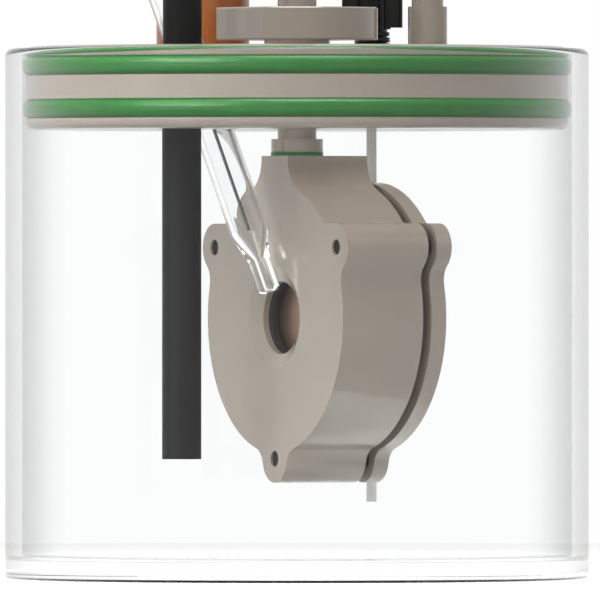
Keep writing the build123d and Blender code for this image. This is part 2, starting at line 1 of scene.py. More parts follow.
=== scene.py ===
# %% [markdown]
# # Dressing an electrochemical cell
# The object is a laboratory cell: a round glass vessel, a thick plastic lid, and a family
# of electrodes and fittings that hang through the lid. Its construction is already fixed
# in a CAD model. This lesson loads that model, gives every piece the finish of its real
# material, blows the glass again as a smooth surface, and cuts the screw threads.

# %% Load the fixed frame
import bpy
import bmesh
from math import atan2, cos, pi, radians, sin
from mathutils import Matrix, Vector


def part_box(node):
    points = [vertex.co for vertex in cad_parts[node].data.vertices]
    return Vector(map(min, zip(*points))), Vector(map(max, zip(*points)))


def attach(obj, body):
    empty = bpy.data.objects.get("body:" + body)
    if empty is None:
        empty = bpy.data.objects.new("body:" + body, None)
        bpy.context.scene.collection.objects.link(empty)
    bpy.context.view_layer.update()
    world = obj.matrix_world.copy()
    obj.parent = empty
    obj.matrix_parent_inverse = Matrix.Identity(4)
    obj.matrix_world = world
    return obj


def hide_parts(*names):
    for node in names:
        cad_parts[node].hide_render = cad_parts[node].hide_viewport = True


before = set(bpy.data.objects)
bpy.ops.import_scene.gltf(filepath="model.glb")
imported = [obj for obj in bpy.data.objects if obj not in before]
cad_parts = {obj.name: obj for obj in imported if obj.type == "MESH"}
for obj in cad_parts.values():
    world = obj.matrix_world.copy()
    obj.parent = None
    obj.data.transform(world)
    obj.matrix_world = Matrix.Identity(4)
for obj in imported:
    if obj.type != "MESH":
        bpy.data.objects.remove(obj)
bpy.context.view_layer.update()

# %% [markdown]
# ## Units and colours
# Blender works in metres, and a maker thinks in millimetres, so one constant turns one
# into the other. Colours are written as the sRGB hex values that a colour picker shows,
# and one function turns them into the linear values that the renderer adds up.

# %% Millimetres and colours
MM = 0.001


def linear(hex_colour):
    """Turn an sRGB hex colour such as #9C9486 into linear red, green, blue and alpha."""
    channels = [int(hex_colour[start : start + 2], 16) / 255 for start in (1, 3, 5)]
    turned = [c / 12.92 if c <= 0.04045 else ((c + 0.055) / 1.055) ** 2.4 for c in channels]
    return (*turned, 1.0)


print("mid grey is", [round(c, 3) for c in linear("#808080")])

# %% [markdown]
# ## A camera with a long lens
# The picture has almost no perspective: upright edges stay upright and the near and far
# rims lie at the same height. That is a camera far away with a very long lens. It stands
# level, so that the lid is seen edge on, and it looks along a line 30 degrees off the
# front of the frame. The frame's width at the cell's axis fixes how far away it stands.
# The eye height is the height of the lens, and the axis shift moves the cell a little to
# the left of the picture's middle.

# %% Camera
VIEW_ANGLE = radians(30)
FRAME_WIDTH = 92.46 * MM
EYE_HEIGHT = 43.15 * MM
AXIS_SHIFT = 0.46 * MM
LENS = 1400
SENSOR = 36

forward = Vector((sin(VIEW_ANGLE), cos(VIEW_ANGLE), 0))
rightward = Vector((cos(VIEW_ANGLE), -sin(VIEW_ANGLE), 0))
distance = LENS * FRAME_WIDTH / SENSOR
aim = rightward * AXIS_SHIFT + Vector((0, 0, EYE_HEIGHT))

camera_data = bpy.data.cameras.new("camera")
camera_data.lens = LENS
camera_data.sensor_width = SENSOR
camera_data.clip_end = 4 * distance
camera = bpy.data.objects.new("camera", camera_data)
camera.location = aim - forward * distance
camera.rotation_euler = (pi / 2, 0, -VIEW_ANGLE)
bpy.context.collection.objects.link(camera)
bpy.context.scene.camera = camera
bpy.context.scene.view_settings.view_transform = "Standard"
print("camera stands", round(distance, 2), "m away")

# %% [markdown]
# ## Nodes made by one small helper
# A material is a tree of nodes. The helper adds one node, sets its options, and fills
# each input: with a link when it is given another node's socket, or with a plain value.

# %% Helper that adds a node
def add(tree, kind, inputs=None, **options):
    """Add a node of a kind to a tree, with its options and its inputs by name or number."""
    node = tree.nodes.new(kind)
    for name, value in options.items():
        setattr(node, name, value)
    for key, value in (inputs or {}).items():
        if isinstance(value, bpy.types.NodeSocket):
            tree.links.new(value, node.inputs[key])
        else:
            node.inputs[key].default_value = value
    return node


def new_material(name):
    """Start an empty material and return it with its node tree."""
    material = bpy.data.materials.new(name)
    material.use_nodes = True
    material.node_tree.nodes.clear()
    return material, material.node_tree


# %% [markdown]
# ## A white room
# The cell stands on a pale floor in a white room. The room is white where the camera,
# a reflection or a ray through glass sees it, and gives a softer even light to the
# surfaces. What stands in the vessel gets its light through the glass, so a ray that has
# left a dull surface before counts as light, not as a look through the glass.

# %% World
ROOM_LIGHT = 0.28
WHITE = 1.0


def seen_strength(tree, lighting, seen):
    """Return a strength that differs between light on surfaces and what eye or glass see."""
    path = add(tree, "ShaderNodeLightPath")
    mirrored = add(
        tree, "ShaderNodeMath",
        {0: path.outputs["Is Camera Ray"], 1: path.outputs["Is Glossy Ray"]},
        operation="MAXIMUM",
    )
    looked_at = add(
        tree, "ShaderNodeMath",
        {0: mirrored.outputs[0], 1: path.outputs["Is Transmission Ray"]},
        operation="MAXIMUM",
    )
    straight = add(
        tree, "ShaderNodeMath",
        {0: looked_at.outputs[0], 1: path.outputs["Diffuse Depth"]},
        operation="SUBTRACT", use_clamp=True,
    )
    strength = add(
        tree, "ShaderNodeMapRange",
        {"Value": straight.outputs[0], "To Min": lighting, "To Max": seen},
    )
    return strength.outputs["Result"]


world = bpy.data.worlds.new("white_room")
world.use_nodes = True
bpy.context.scene.world = world
room_tree = world.node_tree
room_tree.nodes.clear()
room = add(
    room_tree, "ShaderNodeBackground",
    {"Color": linear("#FFFFFF"), "Strength": seen_strength(room_tree, ROOM_LIGHT, WHITE)},
)
add(room_tree, "ShaderNodeOutputWorld", {"Surface": room.outputs[0]})
print("the room looks white and lights surfaces at", ROOM_LIGHT)

# %% [markdown]
# ## A floor of white card
# The floor is a round sheet of matt white card, such as is laid under glassware for a
# photograph. Under the lamps alone it would look a little grey, so it also glows for the
# eye and for the glass, just enough to meet the white of the room. The glow is seen but
# lights no dull surface, so the shadow stays.

# %% Floor
FLOOR_RADIUS = 0.55
FLOOR_GLOW = 0.48

floor_mesh = bpy.data.meshes.new("floor")
shape = bmesh.new()
bmesh.ops.create_circle(shape, cap_ends=True, segments=96, radius=FLOOR_RADIUS)
shape.to_mesh(floor_mesh)
shape.free()
floor = bpy.data.objects.new("floor", floor_mesh)
bpy.context.collection.objects.link(floor)
floor_finish, card_tree = new_material("matt white card")
card = add(card_tree, "ShaderNodeBsdfDiffuse", {"Color": linear("#E4E4E2")})
glow = add(card_tree, "ShaderNodeEmission", {"Strength": seen_strength(card_tree, 0.0, FLOOR_GLOW)})
both = add(card_tree, "ShaderNodeAddShader", {0: card.outputs[0], 1: glow.outputs[0]})
add(card_tree, "ShaderNodeOutputMaterial", {"Surface": both.outputs[0]})
floor_mesh.materials.append(floor_finish)
print("the floor is", 2 * FLOOR_RADIUS, "m across")

# %% [markdown]
# ## Soft lamps
# Large square lamps throw soft-edged light. The key stands on the viewer's left, square
# to the sample holder's front, and the front lamp reaches in under the lid. The top lamp
# lights the lid and what stands on it. Upright glass mirrors a level view to a level
# direction, so every lamp hangs wholly above the cell, where the glass can't show it.
# Each row gives a lamp's place and its side in metres, and its power in watts.

# %% Lamps
LAMPS = {
    "key": (Vector((-0.78, -0.20, 0.42)), 0.40, 2.4),
    "front": (Vector((-0.20, -0.85, 0.34)), 0.30, 0.5),
    "top": (Vector((0.0, -0.05, 0.78)), 0.40, 3.4),
}
for name, (stand, side, power) in LAMPS.items():
    lamp_data = bpy.data.lights.new(name, "AREA")
    lamp_data.size = side
    lamp_data.energy = power
    lamp = bpy.data.objects.new(name, lamp_data)
    lamp.location = stand
    lamp.rotation_euler = (aim - stand).to_track_quat("-Z", "Y").to_euler()
    bpy.context.collection.objects.link(lamp)
print("lamps:", ", ".join(LAMPS))

# %% [markdown]
# ## Light under the lid
# The lid covers all that hangs in the vessel, and under it the top light would be lost.
# Light linking tells Blender which pieces cast a shadow for one lamp. Here the lid, its
# two rings and the knob let the top lamp through, so the upper side of the holder shows
# its form, as it does in a cell that is cut open. They let the key through as well, and
# so does the graphite rod, which would throw its shadow on the holder's front.

# %% Pieces that cast no shadow for one lamp
COVER = ("lid", "lid_seal_upper", "lid_seal_lower", "gland_knob")
LET_THROUGH = {"top": COVER, "key": (*COVER, "counter_electrode")}
for name, nodes in LET_THROUGH.items():
    passed = bpy.data.collections.new(f"pieces that the {name} lamp passes")
    for node in nodes:
        passed.objects.link(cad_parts[node])
    for entry in passed.collection_objects:
        entry.light_linking.link_state = "EXCLUDE"
    bpy.data.objects[name].light_linking.blocker_collection = passed
    print("the", name, "lamp passes", ", ".join(nodes))

# %% [markdown]
# ## PEEK, turned on a lathe
# The lid, the shaft, the knob and the holder are PEEK, a hard engineering plastic with
# the colour of milky coffee. It is turned from bar, so its satin shine runs in faint
# rings about the axis of the piece, with small changes of shade. The tool marks are
# really about 0.1 mm apart, which is finer than a pixel here, so they are drawn as soft
# waves 2.8 mm apart. At scale 1 a wave pattern has 20 waves in 2 pi units, and that
# gives the scale for any spacing. The Mapping node lays the pattern's own axis along
# the axis of the piece.

# %% PEEK
TOOL_MARK = 2.8274 * MM
MARK_SCALE = 2 * pi / 20 / TOOL_MARK
PEEK_CLOUD = 9 * MM
PEEK_GRAIN = 0.35 * MM


def turned_peek(name, centre=(0, 0, 0), tilt=(0, 0, 0)):
    """Make PEEK with tool marks about an axis through centre, turned by tilt from +Z."""
    material, tree = new_material(name)
    coordinates = add(tree, "ShaderNodeTexCoord")
    turned = add(
        tree, "ShaderNodeMapping",
        {"Vector": coordinates.outputs["Object"], "Location": centre, "Rotation": tilt},
        vector_type="TEXTURE",
    )
    rings = add(
        tree, "ShaderNodeTexWave",
        {
            "Vector": turned.outputs[0], "Scale": MARK_SCALE, "Distortion": 0.6,
            "Detail": 2.0, "Detail Scale": 1.5,
        },
        wave_type="RINGS", rings_direction="Z",
    )
    lines = add(
        tree, "ShaderNodeTexWave",
        {"Vector": turned.outputs[0], "Scale": MARK_SCALE, "Distortion": 0.4, "Detail": 1.0},
        wave_type="BANDS", bands_direction="Z",
    )
    marks = add(
        tree, "ShaderNodeMath", {0: rings.outputs["Fac"], 1: lines.outputs["Fac"]}, operation="ADD",
    )
    cloud = add(
        tree, "ShaderNodeTexNoise",
        {
            "Vector": coordinates.outputs["Object"], "Scale": 1 / PEEK_CLOUD,
            "Detail": 4.0, "Roughness": 0.6,
        },
    )
    grain = add(
        tree, "ShaderNodeTexNoise",
        {"Vector": coordinates.outputs["Object"], "Scale": 1 / PEEK_GRAIN, "Detail": 2.0},
    )
    shade = add(
        tree, "ShaderNodeMix",
        {"Factor": cloud.outputs["Fac"], "A": linear("#9E9387"), "B": linear("#A99D91")},
        data_type="RGBA",
    )
    gloss = add(
        tree, "ShaderNodeMapRange",
        {"Value": grain.outputs["Fac"], "To Min": 0.16, "To Max": 0.22},
    )
    bump = add(
        tree, "ShaderNodeBump",
        {"Height": marks.outputs[0], "Strength": 0.04, "Distance": 0.02 * MM},
    )
    surface = add(
        tree, "ShaderNodeBsdfPrincipled",
        {
            "Base Color": shade.outputs["Result"],
            "Roughness": gloss.outputs["Result"],
            "IOR": 1.6,
            "Normal": bump.outputs["Normal"],
        },
    )
    add(tree, "ShaderNodeOutputMaterial", {"Surface": surface.outputs[0]})
    return material


HOLDER_CENTRE = (0, 0, 40.4 * MM)
PORT_CIRCLE = 23.3 * MM

lid_peek = turned_peek("PEEK turned about the cell axis")
holder_peek = turned_peek("PEEK turned about the holder axis", HOLDER_CENTRE, (0, -pi / 2, 0))
plug_peek = turned_peek("PEEK turned about the plug axis", (PORT_CIRCLE, 0, 0))
for material in (lid_peek, holder_peek, plug_peek):
    print("made", material.name)

# %% [markdown]
# ## Rubber rings
# The rings are moulded rubber: two greens that tell the seal grades apart, and black.
# Rubber is dull with a soft wide shine. One noise gives it the faint mottling of its
# mould, in shade, in gloss and in a very slight unevenness.

# %% Sealing rubbers
RUBBER_MOTTLE = 1.6 * MM
MOTTLE_SPREAD = 0.06


def moulded_rubber(name, dark, light, roughness):
    """Make a dull moulded rubber between two close shades."""
    material, tree = new_material(name)
    coordinates = add(tree, "ShaderNodeTexCoord")
    mottle = add(
        tree, "ShaderNodeTexNoise",
        {"Vector": coordinates.outputs["Object"], "Scale": 1 / RUBBER_MOTTLE, "Detail": 3.0},
    )
    shade = add(
        tree, "ShaderNodeMix",
        {"Factor": mottle.outputs["Fac"], "A": linear(dark), "B": linear(light)},
        data_type="RGBA",
    )
    gloss = add(
        tree, "ShaderNodeMapRange",
        {
            "Value": mottle.outputs["Fac"],
            "To Min": roughness - MOTTLE_SPREAD, "To Max": roughness + MOTTLE_SPREAD,
        },
    )
    bump = add(
        tree, "ShaderNodeBump",
        {"Height": mottle.outputs["Fac"], "Strength": 0.03, "Distance": 0.05 * MM},
    )
    surface = add(
        tree, "ShaderNodeBsdfPrincipled",
        {
            "Base Color": shade.outputs["Result"], "Roughness": gloss.outputs["Result"],
            "IOR": 1.5, "Normal": bump.outputs["Normal"],
        },
    )
    add(tree, "ShaderNodeOutputMaterial", {"Surface": surface.outputs[0]})
    return material


green_rubber = moulded_rubber("FKM rubber dark green", "#0C6414", "#12751B", 0.42)
light_green_rubber = moulded_rubber("FKM rubber light green", "#5C9012", "#6BA81C", 0.42)
black_rubber = moulded_rubber("NBR rubber black", "#151413", "#201F1D", 0.5)
for material in (green_rubber, light_green_rubber, black_rubber):
    print("made", material.name)

# %% [markdown]
# ## Moulded and extruded plastics
# The hollow screw and the holder's three screws are black acetal, and the stopper is
# orange polypropylene. The thin tube, its cone and the reference cap are PTFE, which
# looks milky. Each is smooth, with an even fine skin that breaks up the shine a little.
# The acetal mirrors less than the others, so that it stays black in a white room.

# %% Smooth plastics
SKIN_GRAIN = 0.5 * MM
SKIN_SPREAD = 0.05
PLASTIC_CLOUD = 6 * MM


def moulded_plastic(name, dark, light, roughness, ior, shine=0.5):
    """Make a smooth moulded plastic with a fine skin."""
    material, tree = new_material(name)
    coordinates = add(tree, "ShaderNodeTexCoord")
    clouds = add(
        tree, "ShaderNodeTexNoise",
        {"Vector": coordinates.outputs["Object"], "Scale": 1 / PLASTIC_CLOUD, "Detail": 2.0},
    )
    skin = add(
        tree, "ShaderNodeTexNoise",
        {"Vector": coordinates.outputs["Object"], "Scale": 1 / SKIN_GRAIN, "Detail": 3.0},
    )
    shade = add(
        tree, "ShaderNodeMix",
        {"Factor": clouds.outputs["Fac"], "A": linear(dark), "B": linear(light)},
        data_type="RGBA",
    )
    gloss = add(
        tree, "ShaderNodeMapRange",
        {
            "Value": skin.outputs["Fac"],
            "To Min": roughness - SKIN_SPREAD, "To Max": roughness + SKIN_SPREAD,
        },
    )
    bump = add(
        tree, "ShaderNodeBump",
        {"Height": skin.outputs["Fac"], "Strength": 0.08, "Distance": 0.02 * MM},
    )
    surface = add(
        tree, "ShaderNodeBsdfPrincipled",
        {
            "Base Color": shade.outputs["Result"], "Roughness": gloss.outputs["Result"],
            "IOR": ior, "Specular IOR Level": shine, "Normal": bump.outputs["Normal"],
        },
    )
    add(tree, "ShaderNodeOutputMaterial", {"Surface": surface.outputs[0]})
    return material


black_acetal = moulded_plastic("acetal moulded black", "#0E0E0D", "#161614", 0.32, 1.48, 0.25)
orange_stopper = moulded_plastic("polypropylene moulded orange", "#A65D2B", "#B0652F", 0.30, 1.49)
milky_plastic = moulded_plastic("PTFE extruded", "#ECEAE4", "#F4F2EE", 0.35, 1.38)
for material in (black_acetal, orange_stopper, milky_plastic):
    print("made", material.name)

# %% [markdown]
# ## Graphite
# The counter electrode is a rod of pressed graphite, ground to size. It is nearly black
# and dull, with flakes that shine a little more than their neighbours, and faint
# scratches round it from grinding. Noise that is stretched sideways draws those.

# %% Graphite
FLAKE = 0.30 * MM
SCRATCH = 0.5 * MM

graphite, graphite_tree = new_material("graphite ground")
coordinates = add(graphite_tree, "ShaderNodeTexCoord")
flakes = add(
    graphite_tree, "ShaderNodeTexVoronoi",
    {"Vector": coordinates.outputs["Object"], "Scale": 1 / FLAKE},
)
stretch = add(
    graphite_tree, "ShaderNodeMapping",
    {"Vector": coordinates.outputs["Object"], "Scale": (0.15, 0.15, 1.0)},
)
scratches = add(
    graphite_tree, "ShaderNodeTexNoise",
    {"Vector": stretch.outputs[0], "Scale": 1 / SCRATCH, "Detail": 4.0, "Roughness": 0.7},
)
shade = add(
    graphite_tree, "ShaderNodeMix",
    {"Factor": scratches.outputs["Fac"], "A": linear("#101010"), "B": linear("#1A1A1A")},
    data_type="RGBA",
)
gloss = add(
    graphite_tree, "ShaderNodeMapRange",
    {"Value": flakes.outputs["Distance"], "To Min": 0.42, "To Max": 0.62},
)
bump = add(
    graphite_tree, "ShaderNodeBump",
    {"Height": scratches.outputs["Fac"], "Strength": 0.2, "Distance": 0.03 * MM},
)
rod_surface = add(
    graphite_tree, "ShaderNodeBsdfPrincipled",
    {
        "Base Color": shade.outputs["Result"], "Roughness": gloss.outputs["Result"],
        "IOR": 1.45, "Specular IOR Level": 0.2, "Normal": bump.outputs["Normal"],
    },
)
add(graphite_tree, "ShaderNodeOutputMaterial", {"Surface": rod_surface.outputs[0]})
print("made", graphite.name)

# %% [markdown]
# ## Metals
# The sample is a flat disc, ground on fine paper, so its scratches run one way. The
# contact pin is turned brass, and the wire in the reference tube is silver under a dull
# grey coat.

# %% Metals
GRIND_LINE = 0.25 * MM
LINE_SPREAD = 0.08


def worked_metal(name, dark, light, roughness, stretch):
    """Make a metal whose fine scratches are drawn out by the stretch along each axis."""
    material, tree = new_material(name)
    coordinates = add(tree, "ShaderNodeTexCoord")
    drawn = add(
        tree, "ShaderNodeMapping",
        {"Vector": coordinates.outputs["Object"], "Scale": stretch},
    )
    lines = add(
        tree, "ShaderNodeTexNoise",
        {"Vector": drawn.outputs[0], "Scale": 1 / GRIND_LINE, "Detail": 3.0, "Roughness": 0.6},
    )
    shade = add(
        tree, "ShaderNodeMix",
        {"Factor": lines.outputs["Fac"], "A": linear(dark), "B": linear(light)},
        data_type="RGBA",
    )
    gloss = add(
        tree, "ShaderNodeMapRange",
        {
            "Value": lines.outputs["Fac"],
            "To Min": roughness - LINE_SPREAD, "To Max": roughness + LINE_SPREAD,
        },
    )
    bump = add(
        tree, "ShaderNodeBump",
        {"Height": lines.outputs["Fac"], "Strength": 0.12, "Distance": 0.02 * MM},
    )
    surface = add(
        tree, "ShaderNodeBsdfPrincipled",
        {
            "Base Color": shade.outputs["Result"], "Roughness": gloss.outputs["Result"],
            "Metallic": 1.0, "Normal": bump.outputs["Normal"],
        },
    )
    add(tree, "ShaderNodeOutputMaterial", {"Surface": surface.outputs[0]})
    return material


sample_metal = worked_metal("copper alloy ground", "#A98A7D", "#B99A8C", 0.42, (1.0, 1.0, 0.1))
brass = worked_metal("brass turned", "#B8975A", "#CBAA6B", 0.28, (0.1, 0.1, 1.0))
coated_silver = worked_metal("silver wire coated", "#5C5B5C", "#6E6D6E", 0.45, (1.0, 1.0, 0.2))
for material in (sample_metal, brass, coated_silver):
    print("made", material.name)

# %% [markdown]
# ## Borosilicate glass
# The vessel and the reference tube are clear borosilicate glass. Glass shows itself by
# what it bends and mirrors, so the shader is a plain see-through one with the glass's
# own index. It mirrors less than real glass, because the room is white all round, and a
# full mirror on four walls would lay a grey veil on the dark pieces inside. Seen edge on,
# the eye looks through far more glass, and the sides of a vessel look grey: Layer Weight
# says how edge on a place is seen, and darkens it there. Rays from lamps are let straight
# through, or the things inside would stand in a black shadow. A drawn glass tube also has
# a very faint waviness.

# %% Glass
GLASS_WAVE = 14 * MM
EDGE_START = 0.45

glass, glass_tree = new_material("borosilicate glass")
coordinates = add(glass_tree, "ShaderNodeTexCoord")
waves = add(
    glass_tree, "ShaderNodeTexNoise",
    {"Vector": coordinates.outputs["Object"], "Scale": 1 / GLASS_WAVE, "Detail": 1.0},
)
ripple = add(
    glass_tree, "ShaderNodeBump",
    {"Height": waves.outputs["Fac"], "Strength": 0.05, "Distance": 0.05 * MM},
)
edge_on = add(glass_tree, "ShaderNodeLayerWeight", {"Blend": 0.5})
depth = add(
    glass_tree, "ShaderNodeMapRange",
    {"Value": edge_on.outputs["Facing"], "From Min": EDGE_START, "From Max": 1.0},
)
tint = add(
    glass_tree, "ShaderNodeMix",
    {"Factor": depth.outputs["Result"], "A": linear("#FDFEFE"), "B": linear("#747676")},
    data_type="RGBA",
)
clear = add(
    glass_tree, "ShaderNodeBsdfPrincipled",
    {
        "Base Color": tint.outputs["Result"], "Roughness": 0.0, "IOR": 1.473,
        "Specular IOR Level": 0.2, "Specular Tint": linear("#959595"),
        "Transmission Weight": 1.0, "Normal": ripple.outputs["Normal"],
    },
)
through = add(glass_tree, "ShaderNodeBsdfTransparent", {"Color": linear("#FBFCFC")})
light_path = add(glass_tree, "ShaderNodeLightPath")
either = add(
    glass_tree, "ShaderNodeMixShader",
    {0: light_path.outputs["Is Shadow Ray"], 1: clear.outputs[0], 2: through.outputs[0]},
)
add(glass_tree, "ShaderNodeOutputMaterial", {"Surface": either.outputs[0]})
print("made", glass.name)

# %% [markdown]
# ## Turning a profile into a solid
# A vessel, a tube or a ring is a profile turned about an axis. The profile is a closed
# line of radius and height, and its corners are rounded by short arcs first. Smooth
# shading bends the light over a whole face, so each arc gets two more points a little
# way along the straight walls beside it, and the long walls stay optically flat. The
# lathe makes many steps round, because glass shows every facet.

# %% Lathe
GUARD = 0.15
ON_AXIS = 1e-6
SHARP_ANGLE = radians(40)


def rounded(corners, steps=6):
    """Turn (radius, height, rounding) corners of a closed profile into points, in mm."""
    points = []
    for number, (x, y, rounding) in enumerate(corners):
        here = Vector((x, y))
        if not rounding:
            points.append(here)
            continue
        before = (Vector(corners[number - 1][:2]) - here).normalized()
        after = (Vector(corners[(number + 1) % len(corners)][:2]) - here).normalized()
        half_angle = before.angle(after) / 2
        reach = rounding / sin(half_angle)
        middle = here + (before + after).normalized() * reach
        tangent = rounding * cos(half_angle) / sin(half_angle)
        first = here + before * tangent - middle
        last = here + after * tangent - middle
        start = atan2(first.y, first.x)
        sweep = (atan2(last.y, last.x) - start + pi) % (2 * pi) - pi
        points.append(here + before * (tangent + GUARD))
        for step in range(steps + 1):
            angle = start + sweep * step / steps
            points.append(middle + Vector((cos(angle), sin(angle))) * rounding)
        points.append(here + after * (tangent + GUARD))
    return points


def lathe(name, corners, place=Matrix(), segments=192, steps=6):
    """Revolve a closed profile in mm about the local +Z of place into a smooth piece."""
    shape = bmesh.new()
    rings = []
    for point in rounded(corners, steps):
        if point.x < ON_AXIS:
            rings.append([shape.verts.new((0, 0, point.y * MM))])
            continue
        ring = []
        for segment in range(segments):
            angle = 2 * pi * segment / segments
            spot = Vector((point.x * cos(angle), point.x * sin(angle), point.y)) * MM
            ring.append(shape.verts.new(spot))
        rings.append(ring)
    for number, ring in enumerate(rings):
        other = rings[(number + 1) % len(rings)]
        for segment in range(segments):
            beside = (segment + 1) % segments
            if len(ring) == 1 and len(other) == 1:
                break
            if len(ring) == 1:
                shape.faces.new((ring[0], other[segment], other[beside]))
            elif len(other) == 1:
                shape.faces.new((ring[segment], ring[beside], other[0]))
            else:
                shape.faces.new((ring[segment], ring[beside], other[beside], other[segment]))
    bmesh.ops.recalc_face_normals(shape, faces=shape.faces)
    shape.transform(place)
    mesh = bpy.data.meshes.new(name)
    shape.to_mesh(mesh)
    shape.free()
    mesh.shade_smooth()
    mesh.set_sharp_from_angle(angle=SHARP_ANGLE)
    piece = bpy.data.objects.new(name, mesh)
    bpy.context.collection.objects.link(piece)
    print(name, "has", len(mesh.polygons), "faces")
    return piece


# %% [markdown]
# ## The vessel
# The vessel is a straight cylinder with a thick flat floor. Its rim is fire polished
# round, the foot has a small round, and the underside rises a little in a shallow dome,
# so that it stands on a ring. The CAD solid has the same profile in coarser facets, so
# the smooth piece replaces it.

# %% Glass vessel
far_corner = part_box("glass_vessel")[1]
vessel_radius = far_corner[0] / MM
vessel_height = far_corner[2] / MM
VESSEL_WALL = 2.6
VESSEL_FLOOR = 3.1
FOOT_ROUND = 0.8
RIM_ROUND = 1.2
CORNER_ROUND = 0.8
DOME_RADIUS = 35.0
DOME_RISE = 0.7
DOME_STEPS = 14
vessel_bore = vessel_radius - VESSEL_WALL
dome = []
for step in range(DOME_STEPS + 1):
    outward = step / DOME_STEPS
    dome.append((DOME_RADIUS * outward, DOME_RISE * (1 - outward**2), 0))
vessel = lathe(
    "vessel_glass",
    dome
    + [
        (DOME_RADIUS + GUARD, 0, 0),
        (vessel_radius, 0, FOOT_ROUND),
        (vessel_radius, vessel_height, RIM_ROUND),
        (vessel_bore, vessel_height, RIM_ROUND),
        (vessel_bore, VESSEL_FLOOR, CORNER_ROUND),
        (0, VESSEL_FLOOR, 0),
    ],
    segments=256,
    steps=10,
)
vessel.data.materials.append(glass)
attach(vessel, "vessel")
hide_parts("glass_vessel")

# %% [markdown]
# ## The reference tube
# The reference tube is drawn down in a flame: a wide barrel, a shoulder, and a thick
# walled capillary with a rounded mouth. It leans, so its local Z is laid along the line
# from its tip to the middle of its port. The shoulder starts and ends a little higher
# inside than outside, which keeps the wall even as it bends.

# %% Reference tube
tip = Vector((-5.95, -2.0, 44.5)) * MM
lid_point = Vector((-12.68, 8.0, 75.7)) * MM
lean = (lid_point - tip).to_track_quat("Z", "Y").to_matrix().to_4x4()
tube_place = Matrix.Translation(tip) @ lean
TUBE_LENGTH = 70.0
BARREL = 2.95
BARREL_BORE = 2.15
CAPILLARY = 1.65
CAPILLARY_BORE = 0.5
SHOULDER_START, SHOULDER_END = 5.2, 9.7
SHOULDER_OFFSET = 0.2
SOFT_BEND = 2.0
SAWN_ROUND = 0.3
tube = lathe(
    "reference_tube_glass",
    [
        (CAPILLARY_BORE, 0, 0.25),
        (CAPILLARY, 0, 0.6),
        (CAPILLARY, SHOULDER_START, SOFT_BEND),
        (BARREL, SHOULDER_END, SOFT_BEND),
        (BARREL, TUBE_LENGTH, SAWN_ROUND),
        (BARREL_BORE, TUBE_LENGTH, SAWN_ROUND),
        (BARREL_BORE, SHOULDER_END + SHOULDER_OFFSET, SOFT_BEND),
        (CAPILLARY_BORE, SHOULDER_START + SHOULDER_OFFSET, 1.5),
    ],
    place=tube_place,
    segments=96,
)
tube.data.materials.append(glass)
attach(tube, "reference")
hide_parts("reference_tube")

# %% [markdown]
# ## Screw threads
# Three pieces have a thread: the hollow screw of the gas inlet, the knob's collar and
# the stopper's neck. A thread is one ridge that winds round a core. Geometry Nodes say
# that well: a spiral, a three-sided profile, and a mesh drawn along it. The tree starts
# with its inputs, so that one tree serves threads of any size.

# %% Thread as a node tree
thread_tree = bpy.data.node_groups.new("screw thread", "GeometryNodeTree")
sockets = {}
for name, kind in (
    ("Core Radius", "NodeSocketFloat"),
    ("Crest Height", "NodeSocketFloat"),
    ("Pitch", "NodeSocketFloat"),
    ("Turns", "NodeSocketFloat"),
    ("Start", "NodeSocketVector"),
    ("Material", "NodeSocketMaterial"),
):
    sockets[name] = thread_tree.interface.new_socket(name, in_out="INPUT", socket_type=kind).identifier
thread_tree.interface.new_socket("Geometry", in_out="OUTPUT", socket_type="NodeSocketGeometry")
given = add(thread_tree, "NodeGroupInput")
print("thread inputs:", ", ".join(sockets))

# %% [markdown]
# ## Drawing the ridge
# A three-sided profile in a circle of radius r reaches r outwards and half of r inwards,
# so it is 1.5 r high. The crest height over 1.5 therefore gives its radius, and the
# spiral runs a third of the crest height outside the core. The profile fades towards
# both ends of the spiral, which gives the run-out that a real thread has.

# %% The ridge
STEPS_PER_TURN = 48
RUN_OUT = 12.0
FADED = 0.15

rise = add(
    thread_tree, "ShaderNodeMath",
    {0: given.outputs["Pitch"], 1: given.outputs["Turns"]},
    operation="MULTIPLY",
)
third = add(
    thread_tree, "ShaderNodeMath", {0: given.outputs["Crest Height"], 1: 3.0}, operation="DIVIDE",
)
path_radius = add(
    thread_tree, "ShaderNodeMath",
    {0: given.outputs["Core Radius"], 1: third.outputs[0]},
    operation="ADD",
)
spiral = add(
    thread_tree, "GeometryNodeCurveSpiral",
    {
        "Resolution": STEPS_PER_TURN, "Rotations": given.outputs["Turns"],
        "Start Radius": path_radius.outputs[0], "End Radius": path_radius.outputs[0],
        "Height": rise.outputs[0], "Reverse": True,
    },
)
upright = add(thread_tree, "GeometryNodeSetCurveNormal", {"Curve": spiral.outputs[0]}, mode="Z_UP")
wedge_size = add(
    thread_tree, "ShaderNodeMath", {0: given.outputs["Crest Height"], 1: 1.5}, operation="DIVIDE",
)
wedge = add(
    thread_tree, "GeometryNodeCurvePrimitiveCircle", {"Resolution": 3, "Radius": wedge_size.outputs[0]},
)
wedge_out = add(
    thread_tree, "GeometryNodeTransform",
    {"Geometry": wedge.outputs["Curve"], "Rotation": (0, 0, pi)},
)
along = add(thread_tree, "GeometryNodeSplineParameter")
back = add(thread_tree, "ShaderNodeMath", {0: 1.0, 1: along.outputs["Factor"]}, operation="SUBTRACT")
nearest = add(
    thread_tree, "ShaderNodeMath", {0: along.outputs["Factor"], 1: back.outputs[0]}, operation="MINIMUM",
)
fade = add(
    thread_tree, "ShaderNodeMath", {0: nearest.outputs[0], 1: RUN_OUT},
    operation="MULTIPLY", use_clamp=True,
)
full = add(
    thread_tree, "ShaderNodeMapRange",
    {"Value": fade.outputs[0], "To Min": FADED, "To Max": 1.0},
)
